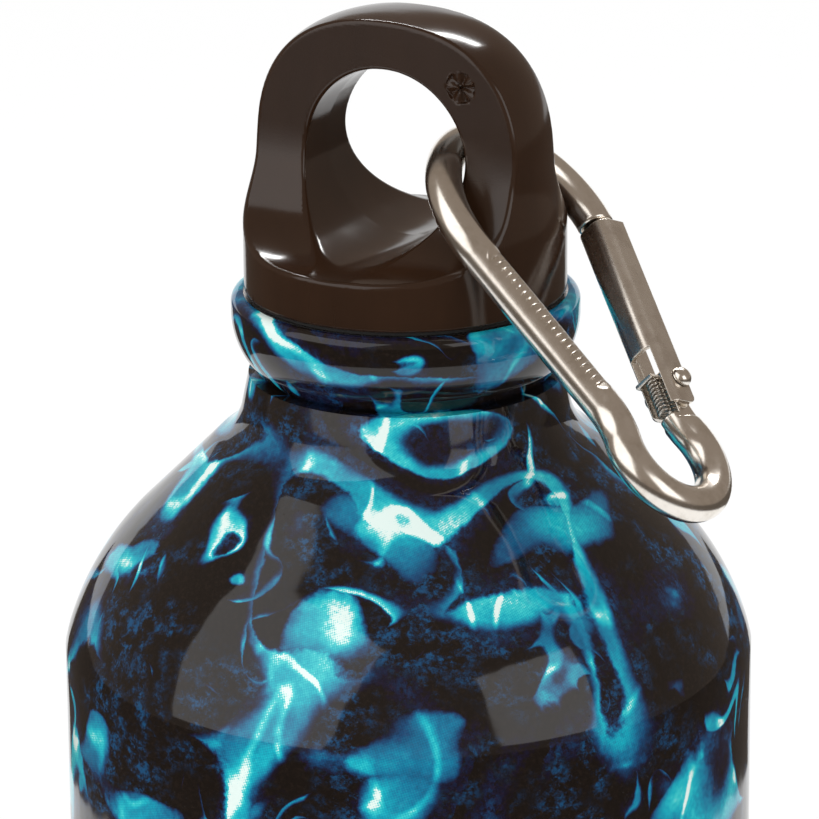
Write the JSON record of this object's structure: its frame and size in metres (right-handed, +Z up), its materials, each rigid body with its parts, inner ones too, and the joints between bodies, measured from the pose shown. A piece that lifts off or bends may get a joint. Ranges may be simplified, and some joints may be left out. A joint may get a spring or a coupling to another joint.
{
  "type": "rigid aluminium water bottle",
  "caption": "Rigid drinking bottle with a printed film skin, screw cap with a loop handle, sealing ring, and a wire snap hook whose gate is sprung.",
  "frame": {"origin": "centre of the foot ring, on the surface the bottle stands on", "axes": "+Z up the bottle's axis; the hole of the cap's loop runs along Y; the snap hook hangs from the loop's +X pillar"},
  "size_m": [0.0771, 0.073, 0.2115],
  "materials": {
    "bare_metal": "bright drawn aluminium with a clear lacquer inside",
    "film": "glossy printed film, dark ground with turquoise light streaks",
    "cap_plastic": "black moulded polypropylene, glossy with satin flat faces",
    "gasket": "matt silicone",
    "hook_wire": "bright nickel-plated steel wire, lightly worn",
    "gate_sheet": "nickel-plated folded sheet",
    "spring_wire": "plain spring wire"
  },
  "bodies": {
    "bottle": {"bottle_shell": "bare_metal", "print_film": "film"},
    "seal": {"cap_gasket": "gasket"},
    "cap": {"loop_cap": "cap_plastic"},
    "hook": {"hook_body": "hook_wire", "gate_rivet": "hook_wire", "gate_spring": "spring_wire"},
    "gate": {"hook_gate": "gate_sheet"}
  },
  "joints": [
    {"name": "cap_rise", "type": "slide", "parent": "bottle", "child": "seal", "axis": [0, 0, 1], "range_m": [0, 0.0105]},
    {"name": "cap_turn", "type": "hinge", "parent": "seal", "child": "cap", "pos_m": [0, 0, 0.182], "axis": [0, 0, 1], "range_deg": [0, 1260]},
    {"name": "hook_swing", "type": "hinge", "parent": "cap", "child": "hook", "pos_m": [0.007, 0, 0.197], "axis": [0, -1, 0], "range_deg": [0, 165]},
    {"name": "gate_open", "type": "hinge", "parent": "hook", "child": "gate", "pos_m": [0.03036, 0.00054, 0.17495], "axis": [0.699, -0.0074, 0.7151], "range_deg": [0, 4.5], "stiffness_Nm_per_rad": 0.01, "springref_deg": -8.59, "deforming": ["gate_spring"]}
  ],
  "couplings": [
    {"joint": "cap_turn", "follows": "cap_rise", "rad_per_m": 2094.4}
  ]
}
